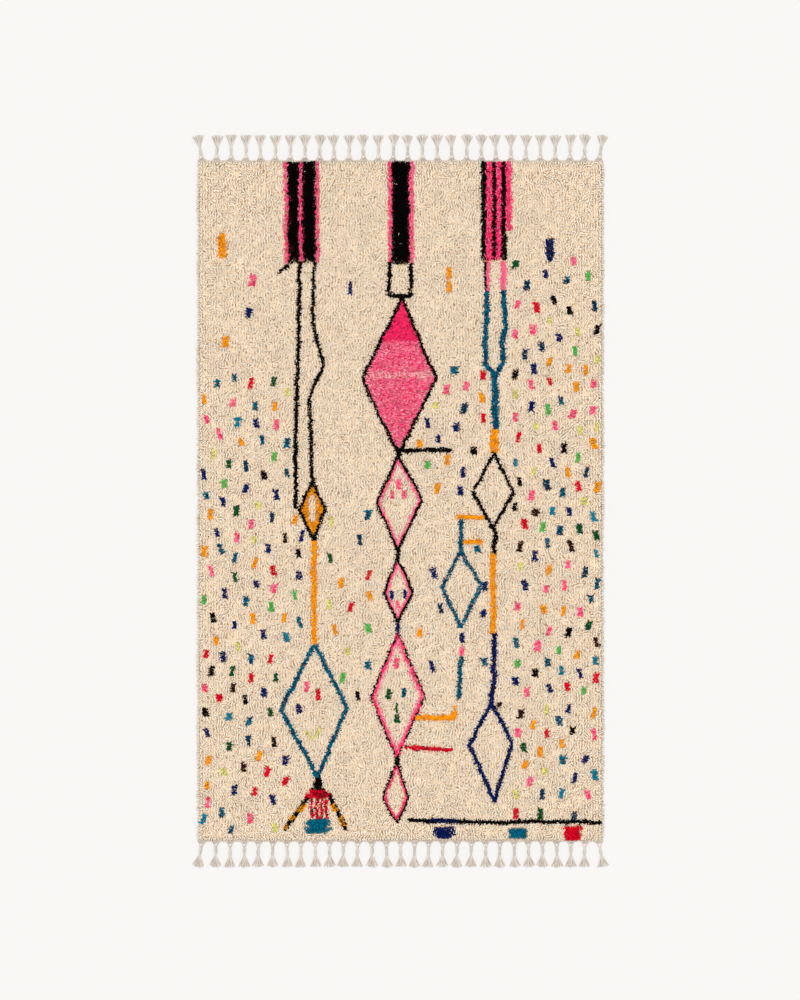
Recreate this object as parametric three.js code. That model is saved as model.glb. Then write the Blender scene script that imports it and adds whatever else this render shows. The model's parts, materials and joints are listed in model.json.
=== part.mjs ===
// An azilal rug lying flat: a hand-knotted wool pile, and at each end a flat-woven band whose warps
// are gathered into knotted tassels. Millimetres, X across the rug, Y along it, Z up from the floor,
// with the origin at the middle of the underside.

import * as THREE from "three";

// The pile, as a slab with an uneven top and a rounded, scalloped rim.
const PILE = { width: 1486, length: 2484, height: 17.5, lump: 2.5, seed: 7 };
const CELLS = { across: 27, along: 45, wander: 0.28 };
const RIM = { inset: 11, topHeight: 13, bellyHeight: 6.5, undercut: 3, scallop: 2, endScallop: 0.25 };

// Locks of yarn that lean out over the floor along the two long sides, on four cells out of five.
const LOCK = { reach: 7, wander: 3, halfWidth: 0.2, slant: 0.12, height: 5, dip: 1.5, every: 5 };

// The end bands, each parted from the pile by a hair, and the tassels along them.
const BAND = { gap: 0.3, depth: 7.7, height: 3 };
const END_Y = PILE.length / 2 + BAND.gap + BAND.depth;
const FRINGES = [
  { name: "fringe_top", tassels: 28, firstX: -729, lastX: 729, side: 1, seed: 11 },
  { name: "fringe_bottom", tassels: 29, firstX: -729, lastX: 729, side: -1, seed: 23 },
];

// One tassel, with its lengths measured out from the band's edge: gathered warps, a round knot, and a
// neck of two plies wound round each other, whose oval section turns as it goes.
const TASSEL_SHAPE = [
  { along: 0, width: 25, height: 2.6, turn: 0 },
  { along: 9, width: 13, height: 8, turn: 0 },
  { along: 14, width: 19, height: 14, turn: 0 },
  { along: 20, width: 11, height: 10, turn: 0 },
  { along: 29, width: 15, height: 10, turn: Math.PI / 3 },
  { along: 38, width: 15, height: 10, turn: Math.PI * 2 / 3 },
  { along: 48, width: 9, height: 8, turn: Math.PI },
];
const LEAN = { any: 0.05, atCorner: 0.15 };

// Its skirt: strands side by side where they leave the neck, which fan out over the floor.
const SKIRT = { strands: 4, from: 60, rootWidth: 22, rootHeight: 7 };
const STRAND = { length: 35, lengthWander: 0.08, fan: 0.42, wander: 0.04, tipWidth: 6, tipHeight: 4 };
const RING_POINTS = 2 * SKIRT.strands + 1;

const WOOL_COLOR = 0xe6d0b4;
const COTTON_COLOR = 0xdcd0c3;

// A repeatable number between -1 and 1, for the unevenness of handwork.
function uneven() {
  return 2 * THREE.MathUtils.seededRandom() - 1;
}

function meshGeometry(points, faces) {
  const numbers = points.flatMap((point) => [point.x, point.y, point.z]);
  const geometry = new THREE.BufferGeometry();
  geometry.setAttribute("position", new THREE.Float32BufferAttribute(numbers, 3));
  geometry.setIndex(faces);
  return geometry;
}

// Faces of the wall between two rings of points, each ring given by its first point.
function wallFaces(lower, upper, count) {
  const faces = [];
  for (let i = 0; i < count; i += 1) {
    const next = (i + 1) % count;
    faces.push(lower + i, lower + next, upper + next, lower + i, upper + next, upper + i);
  }
  return faces;
}

const topIndex = (i, j) => j * (CELLS.across + 1) + i;
const outward = (step, cells) => (step === 0 ? -1 : 0) + (step === cells ? 1 : 0);

// The top of the pile: a grid of lumps, lower at the rim.
function lumpyTop() {
  const { across, along, wander } = CELLS;
  const points = [];
  for (let j = 0; j <= along; j += 1) {
    for (let i = 0; i <= across; i += 1) {
      const isRim = outward(i, across) !== 0 || outward(j, along) !== 0;
      const loose = isRim ? 0 : wander;
      const height = isRim ? RIM.topHeight : PILE.height;
      points.push(new THREE.Vector3(
        (PILE.width - 2 * RIM.inset) * ((i + loose * uneven()) / across - 0.5),
        (PILE.length - 2 * RIM.inset) * ((j + loose * uneven()) / along - 0.5),
        height + (isRim ? 0.5 : 1) * PILE.lump * uneven(),
      ));
    }
  }
  return points;
}

function topFaces() {
  const faces = [];
  for (let j = 0; j < CELLS.along; j += 1) {
    for (let i = 0; i < CELLS.across; i += 1) {
      const [a, b] = [topIndex(i, j), topIndex(i + 1, j)];
      const [c, d] = [topIndex(i + 1, j + 1), topIndex(i, j + 1)];
      faces.push(...((i + j) % 2 ? [a, b, c, a, c, d] : [a, b, d, b, c, d]));
    }
  }
  return faces;
}

// The cells' outer edges once round the rug, anticlockwise from above.
function rimEdges() {
  const { across, along } = CELLS;
  const edges = [];
  for (let i = 0; i < across; i += 1) edges.push({ from: [i, 0], to: [i + 1, 0] });
  for (let j = 0; j < along; j += 1) edges.push({ from: [across, j], to: [across, j + 1] });
  for (let i = across; i > 0; i -= 1) edges.push({ from: [i, along], to: [i - 1, along] });
  for (let j = along; j > 0; j -= 1) edges.push({ from: [0, j], to: [0, j - 1] });
  return edges;
}

// A point of the rim below one of the top's border points. The long sides are undercut, and the ends
// stand straight up against the bands.
function rimPoint([i, j], border) {
  const side = outward(i, CELLS.across);
  const end = outward(j, CELLS.along);
  return {
    x: border.x + side * (RIM.inset + RIM.scallop * uneven()),
    y: border.y + end * (RIM.inset - RIM.endScallop * Math.abs(uneven())),
    height: RIM.bellyHeight,
    side,
  };
}

// Two roots and a tip, which make a lock between two rim points of a long side.
function lockPoints(a, b) {
  const side = Math.sign(a.x);
  const middle = 0.5 + LOCK.slant * uneven();
  const lean = LOCK.slant * uneven();
  const reach = LOCK.reach + LOCK.wander * uneven();
  const at = (share, extra, height) => ({
    x: THREE.MathUtils.lerp(a.x, b.x, share) + side * extra,
    y: THREE.MathUtils.lerp(a.y, b.y, share),
    height,
    side,
  });
  return [
    at(middle - LOCK.halfWidth, -LOCK.dip, RIM.bellyHeight),
    at(middle + lean, reach, LOCK.height),
    at(middle + LOCK.halfWidth, -LOCK.dip, RIM.bellyHeight),
  ];
}

// The rim once round: its points, and for each cell's edge the number of its first point.
function pileRim(top, edges) {
  const corners = edges.map(({ from }) => rimPoint(from, top[topIndex(...from)]));
  const rim = [];
  const starts = edges.map(({ from, to }, k) => {
    const [a, b] = [corners[k], corners[(k + 1) % corners.length]];
    const isLongSide = from[0] === to[0];
    const start = rim.push(a) - 1;
    if (isLongSide && from[1] % LOCK.every > 0) rim.push(...lockPoints(a, b));
    return start;
  });
  return { rim, starts: [...starts, rim.length] };
}

// The whole pile as one closed body: lumpy top, shoulder, belly, undercut wall and flat underside.
function pileField() {
  THREE.MathUtils.seededRandom(PILE.seed);
  const top = lumpyTop();
  const edges = rimEdges();
  const { rim, starts } = pileRim(top, edges);
  const [belly, floor] = [top.length, top.length + rim.length];
  const points = [
    ...top,
    ...rim.map(({ x, y, height }) => new THREE.Vector3(x, y, height)),
    ...rim.map(({ x, y, side }) => new THREE.Vector3(x - RIM.undercut * side, y, 0)),
  ];
  const faces = [...topFaces(), ...wallFaces(floor, belly, rim.length)];
  edges.forEach(({ from, to }, k) => {
    const [a, b] = [topIndex(...from), topIndex(...to)];
    const half = Math.floor((starts[k] + starts[k + 1]) / 2);
    for (let i = starts[k]; i < starts[k + 1]; i += 1) {
      if (i === half) faces.push(a, belly + i, b);
      faces.push(i < half ? a : b, belly + i, belly + (i + 1) % rim.length);
    }
  });
  const outline = points.slice(floor).map((point) => new THREE.Vector2(point.x, point.y));
  for (const [a, b, c] of THREE.ShapeUtils.triangulateShape(outline, [])) {
    faces.push(floor + a, floor + c, floor + b);
  }
  return meshGeometry(points, faces);
}

// An oval section that rests on the floor, its points going over the top from left to right. Its last
// point and its first one are the ends of its lowest side.
function tasselRing({ along, width, height, turn }) {
  const step = 2 * Math.PI / RING_POINTS;
  const middle = new THREE.Vector2();
  const oval = Array.from({ length: RING_POINTS }, (_, i) => {
    const angle = -Math.PI / 2 - (i + 0.5) * step - turn;
    return new THREE.Vector2(width / 2 * Math.cos(angle), height / 2 * Math.sin(angle))
      .rotateAround(middle, turn);
  });
  const lowest = Math.min(...oval.map((point) => point.y));
  return oval.map((point) => new THREE.Vector3(point.x, along, point.y - lowest));
}

// Floor points and crests, by turns, where the strands leave the neck.
function skirtRoot() {
  const { from, strands, rootWidth, rootHeight } = SKIRT;
  return Array.from({ length: RING_POINTS }, (_, i) => new THREE.Vector3(
    rootWidth * (i / (2 * strands) - 0.5),
    from,
    i % 2 ? rootHeight : 0,
  ));
}

// The left, crest and right points of a strand's tip, which lies on the floor.
function strandTip(place) {
  const length = STRAND.length * (1 + STRAND.lengthWander * uneven());
  const angle = STRAND.fan * place + STRAND.wander * uneven();
  const x = SKIRT.rootWidth * (1 - 1 / SKIRT.strands) * place + length * Math.sin(angle);
  const y = SKIRT.from + length * Math.cos(angle);
  const half = new THREE.Vector2(Math.cos(angle), -Math.sin(angle)).multiplyScalar(STRAND.tipWidth / 2);
  return [
    new THREE.Vector3(x - half.x, y - half.y, 0),
    new THREE.Vector3(x, y, STRAND.tipHeight),
    new THREE.Vector3(x + half.x, y + half.y, 0),
  ];
}

// A tassel along +Y, open where its first ring meets the band.
function tassel() {
  const count = RING_POINTS;
  const points = [...TASSEL_SHAPE.flatMap(tasselRing), ...skirtRoot()];
  const neck = (TASSEL_SHAPE.length - 1) * count;
  const root = neck + count;
  const faces = [];
  for (let start = 0; start < neck; start += count) faces.push(...wallFaces(start, start + count, count));
  for (let i = 0; i + 1 < count; i += 1) {
    faces.push(neck + i, neck + i + 1, root + i + 1, neck + i, root + i + 1, root + i);
  }
  faces.push(neck, root + count - 1, neck + count - 1);
  for (let strand = 0; strand < SKIRT.strands; strand += 1) {
    const [left, crest, right] = [0, 1, 2].map((i) => root + 2 * strand + i);
    const tip = points.length;
    points.push(...strandTip(strand / (SKIRT.strands - 1) - 0.5));
    faces.push(neck, left, right);
    faces.push(left, crest, tip + 1, left, tip + 1, tip);
    faces.push(crest, right, tip + 2, crest, tip + 2, tip + 1);
    faces.push(right, left, tip, right, tip, tip + 2, tip, tip + 1, tip + 2);
  }
  return { points, faces };
}

// A band with its tassels as one closed body. A post of three points stands behind each tassel and at
// each end of the band, and its left and right feet are where the tassel leaves the band's lower edge.
function fringe({ tassels, firstX, lastX, side, seed }) {
  THREE.MathUtils.seededRandom(seed);
  const points = [];
  const faces = [];
  const add = (list) => points.push(...list) - list.length;
  const addPost = (x) => add([
    new THREE.Vector3(x, END_Y - BAND.depth, 0),
    new THREE.Vector3(x, END_Y - BAND.depth, BAND.height),
    new THREE.Vector3(x, END_Y, BAND.height),
  ]);
  const addEnd = (x) => {
    const post = addPost(x);
    const foot = add([new THREE.Vector3(x, END_Y, 0)]);
    return { post, left: foot, right: foot };
  };
  const addTassel = (place) => {
    const x = side * THREE.MathUtils.lerp(firstX, lastX, side > 0 ? place : 1 - place);
    const atCorner = (place === 1) - (place === 0);
    const lean = LEAN.any * uneven() + LEAN.atCorner * atCorner;
    const post = addPost(x);
    const body = tassel();
    for (const point of body.points) {
      point.x += x + lean * point.y;
      point.y += END_Y;
    }
    const start = add(body.points);
    const right = start + RING_POINTS - 1;
    faces.push(...body.faces.map((index) => index + start), post, start, right);
    for (let i = start; i < right; i += 1) faces.push(i, post + 2, i + 1);
    return { post, left: start, right };
  };
  const places = Array.from({ length: tassels }, (_, i) => i / (tassels - 1));
  const posts = [addEnd(-PILE.width / 2), ...places.map(addTassel), addEnd(PILE.width / 2)];
  posts.slice(1).forEach((next, i) => {
    const { post, right } = posts[i];
    faces.push(post, next.post, next.post + 1, post, next.post + 1, post + 1);
    faces.push(post + 1, next.post + 1, next.post + 2, post + 1, next.post + 2, post + 2);
    faces.push(right, post + 2, next.post + 2, right, next.post + 2, next.left);
    faces.push(post, right, next.left, post, next.left, next.post);
  });
  const [firstEnd, lastEnd] = [posts[0], posts.at(-1)];
  const [a, b] = [firstEnd.post, lastEnd.post];
  faces.push(a, a + 1, a + 2, a, a + 2, firstEnd.left);
  faces.push(b, b + 2, b + 1, b, lastEnd.left, b + 2);
  const whole = meshGeometry(points, faces);
  return side > 0 ? whole : whole.rotateZ(Math.PI);
}

function addPiece(rug, name, geometry, color) {
  const material = new THREE.MeshStandardMaterial({ color, roughness: 0.95, metalness: 0 });
  const mesh = new THREE.Mesh(geometry, material);
  mesh.name = name;
  rug.add(mesh);
}

const rug = new THREE.Group();
addPiece(rug, "pile_field", pileField(), WOOL_COLOR);
for (const end of FRINGES) addPiece(rug, end.name, fringe(end), COTTON_COLOR);

export default rug;
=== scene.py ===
import json
import math

import bpy
import numpy as np
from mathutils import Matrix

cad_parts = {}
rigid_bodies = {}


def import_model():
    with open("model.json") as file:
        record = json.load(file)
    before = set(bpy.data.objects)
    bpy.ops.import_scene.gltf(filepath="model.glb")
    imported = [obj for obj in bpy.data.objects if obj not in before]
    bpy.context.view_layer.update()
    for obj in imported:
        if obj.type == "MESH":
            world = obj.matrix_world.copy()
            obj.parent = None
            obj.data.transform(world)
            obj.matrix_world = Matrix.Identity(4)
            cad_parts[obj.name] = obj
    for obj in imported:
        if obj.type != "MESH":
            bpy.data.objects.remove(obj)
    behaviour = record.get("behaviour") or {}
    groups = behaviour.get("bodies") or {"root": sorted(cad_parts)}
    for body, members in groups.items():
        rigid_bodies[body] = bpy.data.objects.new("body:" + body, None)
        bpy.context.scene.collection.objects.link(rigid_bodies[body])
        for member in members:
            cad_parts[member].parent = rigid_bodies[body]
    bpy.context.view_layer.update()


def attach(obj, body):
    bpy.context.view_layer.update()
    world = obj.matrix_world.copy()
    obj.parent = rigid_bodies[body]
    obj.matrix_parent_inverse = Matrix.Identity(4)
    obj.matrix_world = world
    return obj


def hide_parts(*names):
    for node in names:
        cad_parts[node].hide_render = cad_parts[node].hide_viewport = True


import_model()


# The bare studio: a plain pale floor with a wide soft light over it, and a long lens straight above the
# middle of the rug, upright on the frame.
FLOOR_COLOR, FLOOR_GLOW = (0.22, 0.22, 0.22), (0.6596, 0.6528, 0.6402)
FLOOR_REACH, FLOOR_LEVEL = 60, -0.0005  # metres, a hair below the rug's underside
ROOM_COLOR, ROOM_LIGHT = (1.0, 0.95, 0.895), 0.985
WINDOW_COLOR, WINDOW_LIGHT = (1.0, 1.10, 1.19), 1.1
WINDOW_SPREAD, WINDOW_TURN = math.radians(14), (math.radians(-16), math.radians(-14), 0)
PICTURE_HEIGHT, PICTURE_LEVEL = 3.667, 0.015  # metres from top to foot, measured at this level
PICTURE_MIDDLE = (-0.0015, 0.0037)
LENS, SENSOR, SIGHT = 300.0, 36.0, 200


def plain_material(name, color, roughness, shine=0.5):
    material = bpy.data.materials.new(name)
    material.use_nodes = True
    shader = material.node_tree.nodes["Principled BSDF"]
    shader.inputs["Base Color"].default_value = (*color, 1)
    shader.inputs["Roughness"].default_value = roughness
    shader.inputs["Specular IOR Level"].default_value = shine
    return material, shader


def add_object(name, data):
    made = bpy.data.objects.new(name, data)
    bpy.context.scene.collection.objects.link(made)
    return made


def add_piece(name, points, faces, material=None):
    mesh = bpy.data.meshes.new(name)
    mesh.from_pydata(points, [], faces)
    if material:
        mesh.materials.append(material)
    return add_object(name, mesh)


floor_material, floor_shader = plain_material("floor paper", FLOOR_COLOR, 0.9, shine=0.0)
floor_shader.inputs["Emission Color"].default_value = (*FLOOR_GLOW, 1)
floor_shader.inputs["Emission Strength"].default_value = 1.0
floor = add_piece("floor", [(FLOOR_REACH * x, FLOOR_REACH * y, FLOOR_LEVEL)
                            for x, y in ((-1, -1), (1, -1), (1, 1), (-1, 1))], [(0, 1, 2, 3)], floor_material)

world = bpy.data.worlds.new("soft room")
world.use_nodes = True
world.node_tree.nodes["Background"].inputs["Color"].default_value = (*ROOM_COLOR, 1)
world.node_tree.nodes["Background"].inputs["Strength"].default_value = ROOM_LIGHT
bpy.context.scene.world = world

lamp = bpy.data.lights.new("window", "SUN")
lamp.energy, lamp.angle, lamp.color = WINDOW_LIGHT, WINDOW_SPREAD, WINDOW_COLOR
add_object("window", lamp).rotation_euler = WINDOW_TURN

camera_data = bpy.data.cameras.new("camera")
camera_data.lens, camera_data.sensor_width, camera_data.clip_end = LENS, SENSOR, SIGHT
camera = add_object("camera", camera_data)
camera.location = (*PICTURE_MIDDLE, PICTURE_LEVEL + PICTURE_HEIGHT * LENS / SENSOR)
bpy.context.scene.camera = camera
bpy.context.scene.view_settings.view_transform = "Standard"


# The ground cloth: undyed cotton warps crossed by thick wefts, with every knot of the pile tied into it.
# It runs a little past the pile at both ends, as a plain woven band that holds the last row of knots.
CLOTH_WIDTH, CLOTH_LENGTH, CLOTH_THICKNESS = 1.480, 2.500, 0.0028
CLOTH_CELLS, CLOTH_UNEVENNESS = (12, 20), 0.08
CLOTH_COLOR, GROOVE_SHADE = (0.70, 0.62, 0.53), 0.72
WEFT_SCALE, WARP_SCALE, THREAD_WANDER, WEFT_SHARE = 60, 48, 1.5, 0.6
WEAVE_RELIEF = (0.6, 0.001)  # strength and depth


def node(tree, kind, sockets=None, **settings):
    """A node with its settings made, and each socket linked to another node's or given its value."""
    made = tree.nodes.new(kind)
    for key, value in settings.items():
        setattr(made, key, value)
    for key, value in (sockets or {}).items():
        if isinstance(value, bpy.types.NodeSocket):
            tree.links.new(value, made.inputs[key])
        else:
            made.inputs[key].default_value = value
    return made


def maths(tree, operation, *terms, kind="ShaderNodeMath"):
    return node(tree, kind, dict(enumerate(terms)), operation=operation).outputs[0]


def relief(tree, strength, depth, height):
    return node(tree, "ShaderNodeBump", {
        "Strength": strength, "Distance": depth, "Height": height}).outputs["Normal"]


def slab_grid(nx, ny):
    """The numbers of a grid's points: four to each cell, and once round the rim."""
    grid = np.arange((nx + 1) * (ny + 1)).reshape(ny + 1, nx + 1)
    cells = np.stack([grid[:-1, :-1], grid[:-1, 1:], grid[1:, 1:], grid[1:, :-1]], -1).reshape(-1, 4)
    rim = np.concatenate([grid[0, :-1], grid[:-1, -1], grid[-1, :0:-1], grid[:0:-1, 0]])
    return cells.tolist(), rim.tolist()


def dress(material, color, normal):
    """Joins a material's color and relief to its shader."""
    tree = material.node_tree
    for key, output in (("Base Color", color), ("Normal", normal)):
        tree.links.new(output, tree.nodes["Principled BSDF"].inputs[key])
    return material


def woven_cloth():
    nx, ny = CLOTH_CELLS
    chance = np.random.default_rng(5)
    x = np.linspace(-0.5, 0.5, nx + 1) * CLOTH_WIDTH
    y = np.linspace(-0.5, 0.5, ny + 1) * CLOTH_LENGTH
    grid_x, grid_y = np.meshgrid(x, y)
    top = CLOTH_THICKNESS * (1 + CLOTH_UNEVENNESS * chance.uniform(-1, 1, grid_x.shape))
    points = [point for z in (top, 0 * top) for point in zip(grid_x.ravel(), grid_y.ravel(), z.ravel())]
    cells, rim = slab_grid(nx, ny)
    below = top.size
    faces = []
    for a, b, c, d in cells:
        faces += [(a, b, c, d), (d + below, c + below, b + below, a + below)]
    faces += [(b, a, a + below, b + below) for a, b in zip(rim, rim[1:] + rim[:1])]
    return points, faces


def weave_material():
    material = plain_material("cotton weave", CLOTH_COLOR, 0.9)[0]
    tree = material.node_tree
    place = node(tree, "ShaderNodeTexCoord").outputs["Object"]

    def threads(way, scale):
        sockets = {"Scale": scale, "Distortion": THREAD_WANDER, "Vector": place}
        return node(tree, "ShaderNodeTexWave", sockets, bands_direction=way).outputs["Fac"]

    weave = maths(tree, "MULTIPLY_ADD", threads("Y", WEFT_SCALE), WEFT_SHARE, threads("X", WARP_SCALE))
    grooves = (*[c * GROOVE_SHADE for c in CLOTH_COLOR], 1)
    color = node(tree, "ShaderNodeMixRGB", {"Fac": weave, "Color1": grooves, "Color2": (*CLOTH_COLOR, 1)})
    return dress(material, color.outputs["Color"], relief(tree, *WEAVE_RELIEF, weave))


ground_cloth = add_piece("ground_cloth", *woven_cloth(), weave_material())


# The drawing that the weaver knots, from the far end to the near one: striped bars, chains of lozenges
# hung on lines, a few solid blocks, and dashes scattered between. Millimetres, all counted.
BARS = [  # dye, left, right, foot; all start at the far end
    ("rose", -427, -298, 875), ("black", -412, -372, 875), ("black", -360, -311, 875),
    ("rose", -45, 0, 872), ("pink", 0, 50, 872), ("black", -31, 33, 870),
]
BAR_STRAYS = {"rose": ("pink", -0.1, -2), "pink": ("rose", 0.8, -2), "black": ("ivory", 0.96, 0.5)}
BLOCKS = [  # dye, left, right, foot, head
    ("red", -340, -268, -1096, -1054), ("teal", -342, -260, -1221, -1164),
    ("navy", 130, 193, -1241, -1191), ("teal", 396, 464, -1241, -1197), ("red", 600, 664, -1246, -1192),
    ("black", 297, 317, 880, 1246), ("rose", 315, 338, 880, 1246), ("black", 335, 352, 880, 1246),
    ("rose", 350, 370, 880, 1246), ("black", 367, 387, 880, 1246), ("rose", 386, 407, 990, 1246),
]
SINGLE_DASHES = [  # dye, left, right, foot, head
    ("navy", -193, -176, 755, 803), ("orange", 168, 189, 815, 857), ("orange", 169, 188, 768, 806),
    ("pink", -556, -526, 790, 830), ("navy", -568, -546, 670, 708), ("orange", -655, -627, 564, 602),
    ("orange", 58, 84, 194, 222), ("pink", -352, -332, -702, -662), ("red", -312, -292, -732, -690),
    ("navy", -382, -362, -782, -744), ("pink", -18, 5, 44, 82), ("pink", -38, -20, 8, 38),
    ("pink", 4, 22, 10, 38), ("navy", -40, -26, -364, -328), ("navy", 10, 24, -360, -324),
    ("pink", -20, -2, -396, -366), ("pink", -24, -4, -616, -574), ("dark_green", -52, -34, -728, -690),
    ("teal", 4, 22, -722, -686), ("dark_green", -24, -2, -816, -782), ("brown", 350, 372, -758, -738),
    ("navy", 300, 320, -330, -296), ("navy", 215, 236, -520, -484), ("pink", 214, 234, -566, -532),
    ("teal", 270, 296, -188, -164), ("red", 412, 434, -1168, -1126), ("dark_green", 502, 524, -1168, -1126),
    ("blue", 628, 650, -1174, -1138),
]
LOZENGES = [  # line, inside, line width, then top, left, foot, right
    ("black", "pink", 11, (4, 744), (-140, 444), (-7, 172), (132, 451)),
    ("black", "lined", 10, (-7, 166), (-86, -6), (-11, -178), (81, 4)),
    ("black", "lined", 9, (-11, -211), (-60, -337), (-11, -443), (46, -334)),
    ("black", "edged", 7, (-11, -483), (-108, -722), (-14, -943), (89, -715)),
    ("black", "thinly edged", 7, (-14, -958), (-66, -1087), (-14, -1180), (30, -1087)),
    ("black", "orange", 11, (-324, 68), (-370, -29), (-319, -145), (-276, -28)),
    ("teal", "ivory", 13, (-314, -525), (-438, -766), (-303, -1014), (-198, -755)),
    ("black", "ivory", 10, (344, 176), (264, 32), (340, -101), (414, 32)),
    ("teal", "ivory", 12, (220, -183), (153, -317), (221, -462), (296, -309)),
    ("navy", "ivory", 13, (333, -740), (255, -895), (344, -1102), (411, -893)),
]
LININGS = {  # rows inside an outline: how far in, and their yarns
    "lined": [(1.5, ("rose", "pink"), (0.65, 0.35)), (4.8, ("pink", "pale_pink"), (0.5, 0.5))],
    "edged": [(1.5, ("rose", "pink"), (0.75, 0.25)), (5.0, ("rose", "pink"), (0.5, 0.5)),
              (8.5, ("pink", "pale_pink"), (0.5, 0.5))],
    "thinly edged": [(1.5, ("rose", "pink"), (0.8, 0.2))],
}
LINING_WIDTH, LINING_ROW = 10.0, 5
ROSE_ABOVE, PALE_BELOW = 587, 580  # the two halves of the pink lozenge
PALE_STREAK, STREAK_WANDER, STREAK_HALF_WIDTH, STREAK_GAPS = 462, 5, 12, -0.4
ROSE_FLECKS, PALE_FLECKS = -0.38, 0.40  # the further from 0, the fewer
CORE, CORE_HALF_WIDTH = [(-324, 8), (-322, -62)], 13  # the ivory core of the orange lozenge
LINES = [  # dye, width, then the points that it passes
    ("orange", 26, (-654, 892), (-654, 978)), ("navy", 24, (549, 883), (549, 963)),
    ("black", 11, (-412, 869), (-445, 836)),
    ("black", 13, (-370, 878), (-373, 664), (-379, 407), (-385, 286), (-383, -26)),
    ("black", 11, (-315, 878), (-324, 664), (-284, 497), (-334, 378), (-327, 205), (-324, 66)),
    ("orange", 18, (-317, -145), (-315, -526)),
    ("black", 22, (-302, -1006), (-298, -1040)), ("black", 13, (-339, -1085), (-424, -1204)),
    ("black", 13, (-262, -1075), (-199, -1204)), ("orange", 18, (-352, -1110), (-377, -1140)),
    ("orange", 13, (-390, -1154), (-402, -1172)), ("orange", 12, (-414, -1190), (-424, -1203)),
    ("orange", 18, (-250, -1112), (-233, -1138)), ("orange", 15, (-222, -1158), (-208, -1190)),
    ("red", 9, (-325, -1096), (-325, -1164)), ("red", 9, (-307, -1096), (-306, -1164)),
    ("red", 9, (-289, -1096), (-290, -1164)), ("red", 9, (-273, -1096), (-272, -1164)),
    ("black", 13, (-39, 875), (-41, 752), (37, 750), (40, 875)), ("black", 13, (4, 750), (4, 740)),
    ("black", 15, (-4, 190), (-6, 165)), ("black", 14, (8, 185), (186, 188)),
    ("black", 14, (-11, -174), (-11, -213)), ("navy", 14, (-11, -438), (-12, -490)),
    ("black", 15, (-14, -937), (-13, -964)), ("dark_green", 5, (-12, -744), (-12, -776)),
    ("lime", 7, (-348, -843), (-335, -860), (-321, -868), (-308, -856), (-291, -832)),
    ("orange", 18, (57, -796), (197, -794)), ("orange", 15, (197, -794), (198, -768)),
    ("orange", 9, (198, -768), (197, -750)), ("red", 9, (17, -902), (50, -905)),
    ("red", 17, (48, -905), (140, -911)), ("red", 13, (140, -911), (188, -913)),
    ("black", 9, (313, 878), (312, 776)), ("pink", 12, (322, 878), (320, 774)),
    ("pink", 18, (377, 878), (377, 774)),
    ("teal", 17, (317, 772), (312, 590), (312, 505), (345, 458)),
    ("teal", 17, (379, 772), (384, 627), (373, 572), (376, 505), (345, 458)),
    ("teal", 22, (347, 460), (348, 262)), ("orange", 27, (344, 264), (344, 178)),
    ("black", 16, (345, -97), (345, -195)), ("orange", 20, (341, -195), (340, -488)),
    ("navy", 17, (343, -488), (343, -656), (332, -742)),
    ("orange", 14, (208, -59), (306, -59)), ("teal", 14, (222, -62), (222, -185)),
    ("orange", 14, (232, -150), (302, -150)), ("teal", 15, (222, -568), (219, -656), (211, -728)),
    ("black", 13, (30, -1171), (182, -1176), (732, -1179)), ("navy", 14, (109, -1173), (211, -1175)),
]
OVERLAID = [  # lines that are knotted over the blocks
    ("black", 38, (-303, -1030), (-300, -1078)), ("brown", 24, (-286, -1066), (-283, -1086)),
]
DASH_ZONES = [  # left, foot, right, head, closest spacing
    (-722, -1205, -455, 462, 63), (-455, -20, -400, 462, 64), (-455, -500, -345, -30, 64),
    (-262, -330, -110, -40, 84), (-455, -1150, -420, -560, 66), (-262, -715, -110, -330, 76),
    (420, -1110, 722, 740, 61), (420, 740, 722, 880, 70), (70, 30, 305, 480, 66),
    (60, -680, 150, -250, 105), (240, -600, 320, -340, 88),
]
DASH_DYES = {"orange": 18, "teal": 12, "light_teal": 5, "navy": 12, "pink": 12, "red": 12, "black": 7,
             "blue": 5, "dark_green": 5, "green": 6, "lime": 6, "brown": 3}
DASH_WIDTH, DASH_HEIGHT, LIME_SIZE = (17.5, 27), (28, 41), 0.85
DASH_WAIST, DASH_LEAN, SINGLE_WAIST, SINGLE_LEAN = 0.45, 0.3, 0.2, 0.1
DASH_MARGIN, TRY_AREA = (24, 30), 60  # clear of other motifs; one try to each such area
CLOSENESS = (1.12, 1.05, 1.0, 0.95)
DASH_ROW, DASH_END, DASH_RAGGED, DASH_ROUGHNESS = 4.4, 3.0, (1.12, 0.85), (0.75, 1.25)
DASH_SLIP, DASH_STRAY, DASH_FLARE, DASH_SLACK, DASH_AROUND = 1.0, 0.42, 0.7, 1.5, 40
DASH_PAIR, DASH_TUFT, CURL_LENGTH = (0.42, 0.8), (1.15, 4.0), 18  # place and length of its two tufts in a row
LINE_PITCH, LINE_ROW, LINE_REACH, LINE_SPREAD = 5.5, 4.6, 0.66, 0.22
LINE_STEP, LINE_SHIFT, LINE_SWELL = 9.5, 1.3, (0.65, 1.3)  # a line jogs and swells from step to step
LINE_INSET, LINE_SLIP, PITCH_SLIP, KNOT_LENGTHS = 6.3, 0.8, 0.35, (0.8, 1.25)
BARB_PITCH, BARB_REACH, BARB_SPREAD, BARB_INSET, BARB_SLIP = 9.8, 0.84, 0.45, 1.5, 1.2
DRIFT, KNOT_SLIP, LINE_SLACK = 1.8, 2.2, 0.7
DYES = ["ivory", "black", "rose", "pink", "pale_pink", "orange", "teal", "light_teal", "navy", "blue", "red",
        "dark_green", "green", "lime", "brown"]
DYE = {name: index for index, name in enumerate(DYES)}
MIXED_LINES = {  # yarns of two dyes, and how much of each
    "teal": (("teal", "blue"), (0.55, 0.45)), "navy": (("navy", "black"), (0.75, 0.25)),
    "red": (("red", "brown"), (0.82, 0.18)),
}
MIXED_DASHES = {"teal": (("teal", "blue"), (0.6, 0.4)), "pink": (("pink", "rose"), (0.65, 0.35))}
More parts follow.
